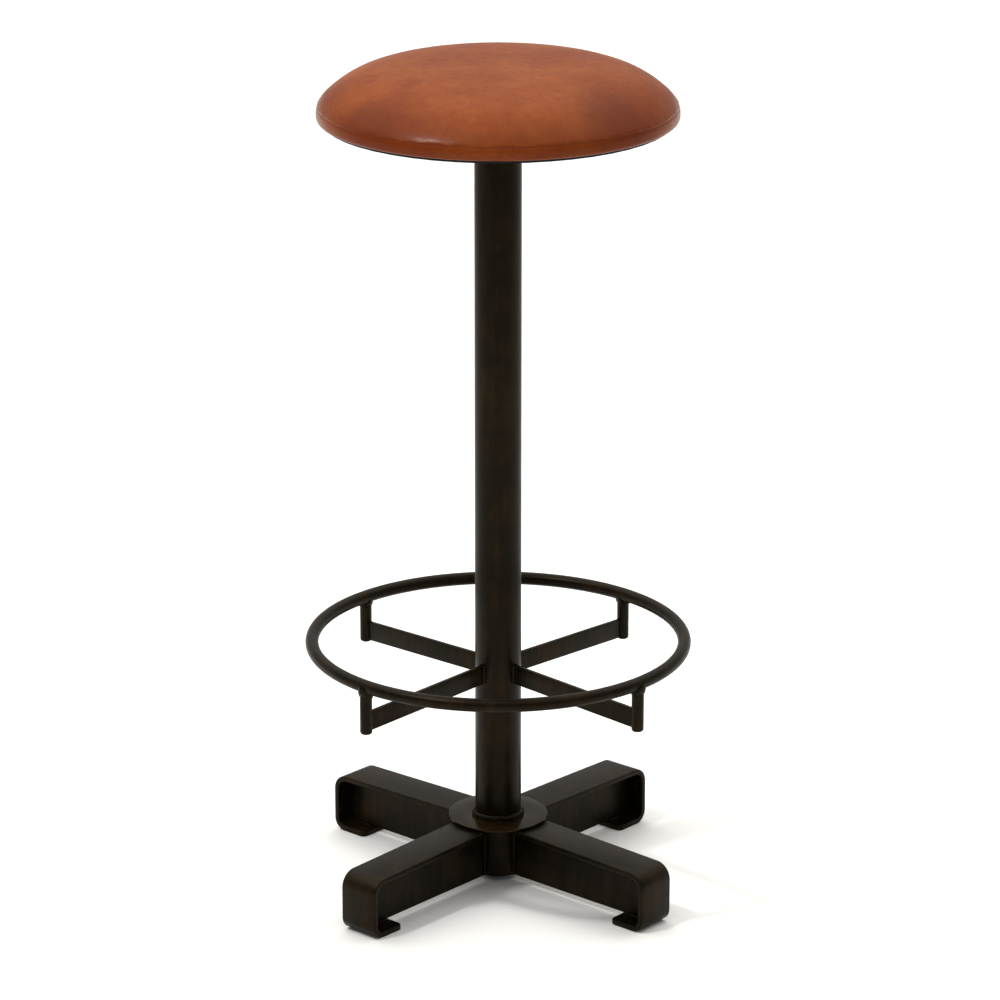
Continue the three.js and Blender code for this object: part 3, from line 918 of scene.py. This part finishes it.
class STOOL_OT_underside(bpy.types.Operator):
    """Finish what is under the seat and inside the post"""

    bl_idname = "bar_stool.underside"
    bl_label = "Underside and swivel"

    def execute(self, context):
        # Hardboard, dipped in matt black paint: no shine, with a faint cloudiness.
        give(plain_finish("hardboard_black_painted", "#19181a", "#0f0e10", 4 * MM, 0.78), "dust_cover")
        # Birch plywood: pale, with long grain along X, seen only where the board is bare.
        give(
            plain_finish(
                "birch_plywood", "#d8b27c", "#b98a55", 6 * MM, 0.6, stretch=(0.12, 1, 1)
            ),
            "seat_board",
        )
        give(steel(), "flange_plate")
        # Zinc plate over steel: bluish grey, with small crystals that break up the shine.
        zinc = plain_finish("zinc_plated_steel", "#c3c7cb", "#9fa4a9", 1.5 * MM, 0.36, metallic=1.0)
        give(zinc, "retaining_washer", "spindle_bolt", *[f"seat_screw_{i}" for i in (1, 2, 3, 4)])
        self.staples(context.scene.bar_stool_sizes, zinc)
        # Turned steel, lightly oiled: fine rings left by the lathe.
        turned = plain_finish(
            "turned_steel_oiled", "#a9acb0", "#7f8286", 1 * MM, 0.3,
            metallic=1.0, stretch=(0.2, 0.2, 1),
        )
        give(turned, "seat_spindle")
        # Cast nylon: off-white and slightly waxy.
        give(
            plain_finish("cast_nylon", "#e6e1d2", "#d4cdb9", 8 * MM, 0.48),
            "upper_bush", "lower_bush", "thrust_washer",
        )
        return {"FINISHED"}

    def staples(self, sizes, zinc):
        """Wire staples driven through the dust cover's edge, all round."""
        reach = DUST_HIGH.x - sizes.staple_inset
        deselect()
        bpy.ops.mesh.primitive_cube_add(
            size=1.0, location=(reach, 0, DUST_LOW.z - sizes.staple_wire * 0.3),
            scale=(sizes.staple_wire, sizes.staple_crown, sizes.staple_wire),
        )
        crown = bpy.context.object
        take(crown)
        bpy.ops.object.transform_apply(location=True, rotation=True, scale=True)
        # The crown's two ends turn up into the hardboard.
        pick(crown, "faces", lambda face: abs(face.normal.y) > 0.9)
        bpy.ops.mesh.inset(thickness=sizes.staple_wire * 0.1, use_individual=True)
        bpy.ops.transform.translate(value=(0, 0, sizes.staple_wire * 0.15))
        bpy.ops.object.mode_set(mode="OBJECT")
        ease(crown, sizes.staple_wire * 0.3, segments=2)
        row = []
        for count in range(STAPLES):
            twin = crown.copy()
            twin.data = crown.data.copy()
            bpy.context.collection.objects.link(twin)
            twin.data.transform(Matrix.Rotation(2 * math.pi * (count + 0.5) / STAPLES, 4, "Z"))
            row.append(twin)
        bpy.data.objects.remove(crown)
        complete(joined(row), "dust_cover_staples", "seat", "zinc_steel", zinc)


# The camera stands at an adult's eye height, in front and a little to the left.
CAMERA_LENS, CAMERA_SENSOR = 161.8, 36.0
CAMERA_AIM = Vector((0.0017, 0, 0.3676))
CAMERA_DISTANCE = 4.088
CAMERA_PITCH, CAMERA_YAW = math.radians(18.3), math.radians(-1.65)
# One small hard softbox, high on the left, puts a gloss on the front left fold of the seat.
SOFTBOX_PLACE = Vector((-1.46, -0.84, 2.84))
SOFTBOX_TARGET = Vector((-0.067, -0.145, 0.738))
SOFTBOX_SIZE = 0.17
SOFTBOX_WATTS = 26
PAPER_SIZE = 80.0
PAPER_GAP = 0.2 * MM  # under the feet, so that no two faces share a plane
VIEW_GAMMA = 0.86


class STOOL_OT_stage(bpy.types.Operator):
    """Set up the floor, the soft lights and the camera"""

    bl_idname = "bar_stool.stage"
    bl_label = "Studio"

    def execute(self, context):
        self.floor(context)
        world = bpy.data.worlds.new("studio")
        world.use_nodes = True
        self.sky(world.node_tree)
        context.scene.world = world
        self.softbox(context)
        self.camera(context)
        context.scene.view_settings.view_transform = "Standard"
        context.scene.view_settings.gamma = VIEW_GAMMA
        return {"FINISHED"}

    def floor(self, context):
        """A wide sheet of background paper that lies just under the feet."""
        deselect()
        bpy.ops.mesh.primitive_plane_add(size=PAPER_SIZE, location=(0, 0, -PAPER_GAP))
        floor = context.object
        floor.name = "studio_floor"
        material, tree, shader, place = new_material("seamless_paper", Roughness=0.9)
        # Seamless background paper: matt and nearly white, with a tooth 0.5 mm fine.
        tooth = add_node(
            tree, "ShaderNodeTexNoise", {"Vector": place, "Scale": 1 / (0.5 * MM)}
        ).outputs[0]
        bump = add_node(tree, "ShaderNodeBump", {"Height": tooth, "Strength": 0.02}).outputs[0]
        tree.links.new(bump, shader.inputs["Normal"])
        shader.inputs["Base Color"].default_value = context.scene.bar_stool_colours.floor
        floor.data.materials.append(material)

    def sky(self, tree):
        """The studio round the stool: a white ceiling over dimmer walls, dimmest in front."""
        toward = add_node(tree, "ShaderNodeTexCoord").outputs["Generated"]
        direction = add_node(tree, "ShaderNodeSeparateXYZ", {"Vector": toward})
        ceiling = add_node(
            tree, "ShaderNodeMapRange",
            {"Value": direction.outputs["Z"], "From Min": 0.42, "From Max": 0.85,
             "To Min": 0.62, "To Max": 2.1},
            interpolation_type="SMOOTHSTEP",
        ).outputs[0]
        backward = add_node(
            tree, "ShaderNodeMapRange",
            {"Value": direction.outputs["Y"], "From Min": -0.7, "From Max": 0.5,
             "To Min": 0.5, "To Max": 1.1},
            interpolation_type="SMOOTHSTEP",
        ).outputs[0]
        level = add_node(
            tree, "ShaderNodeMath", {0: ceiling, 1: backward}, operation="MULTIPLY"
        ).outputs[0]
        background = tree.nodes["Background"]
        background.inputs["Color"].default_value = (1.0, 0.99, 0.97, 1.0)
        tree.links.new(level, background.inputs["Strength"])

    def softbox(self, context):
        """A square area light that faces the seat."""
        deselect()
        bpy.ops.object.light_add(type="AREA", location=SOFTBOX_PLACE)
        light = context.object
        light.name = "softbox_left"
        light.data.shape = "SQUARE"
        light.data.size = SOFTBOX_SIZE
        light.data.energy = SOFTBOX_WATTS
        facing = (SOFTBOX_PLACE - SOFTBOX_TARGET).to_track_quat("Z", "Y")
        light.rotation_euler = facing.to_euler()

    def camera(self, context):
        """A long lens that looks down a little on the whole stool."""
        camera = bpy.data.cameras.new("camera")
        camera.lens = CAMERA_LENS
        camera.sensor_width = CAMERA_SENSOR
        camera.clip_end = 200.0
        eye = bpy.data.objects.new("camera", camera)
        context.collection.objects.link(eye)
        level = math.cos(CAMERA_PITCH)
        back = Vector(
            (math.sin(CAMERA_YAW) * level, -math.cos(CAMERA_YAW) * level, math.sin(CAMERA_PITCH))
        )
        eye.location = CAMERA_AIM + back * CAMERA_DISTANCE
        eye.rotation_euler = back.to_track_quat("Z", "Y").to_euler()
        context.scene.camera = eye


class VIEW3D_PT_bar_stool(bpy.types.Panel):
    """Lists the stool's operators, sizes and colours"""

    bl_label = "Bar Stool"
    bl_idname = "VIEW3D_PT_bar_stool"
    bl_space_type = "VIEW_3D"
    bl_region_type = "UI"
    bl_category = "Bar Stool"

    def draw(self, context):
        for operator in OPERATORS:
            self.layout.operator(operator.bl_idname)
        for group in (context.scene.bar_stool_sizes, context.scene.bar_stool_colours):
            box = self.layout.box()
            for name in group.__annotations__:
                box.prop(group, name)


OPERATORS = (
    STOOL_OT_post,
    STOOL_OT_base,
    STOOL_OT_footrest,
    STOOL_OT_welds,
    STOOL_OT_cover,
    STOOL_OT_underside,
    STOOL_OT_stage,
)
CLASSES = (StoolSizes, StoolColours, *OPERATORS, VIEW3D_PT_bar_stool)


def register():
    """Register the classes and hang the sizes and colours on the scene."""
    for each in CLASSES:
        bpy.utils.register_class(each)
    bpy.types.Scene.bar_stool_sizes = bpy.props.PointerProperty(type=StoolSizes)
    bpy.types.Scene.bar_stool_colours = bpy.props.PointerProperty(type=StoolColours)


def unregister():
    """Take away what register() added."""
    del bpy.types.Scene.bar_stool_colours
    del bpy.types.Scene.bar_stool_sizes
    for each in reversed(CLASSES):
        bpy.utils.unregister_class(each)


def main():
    """Build the whole stool."""
    register()
    bpy.ops.bar_stool.post()
    bpy.ops.bar_stool.base()
    bpy.ops.bar_stool.footrest()
    bpy.ops.bar_stool.welds()
    bpy.ops.bar_stool.cover()
    bpy.ops.bar_stool.underside()
    bpy.ops.bar_stool.stage()


if __name__ == "__main__":
    main()
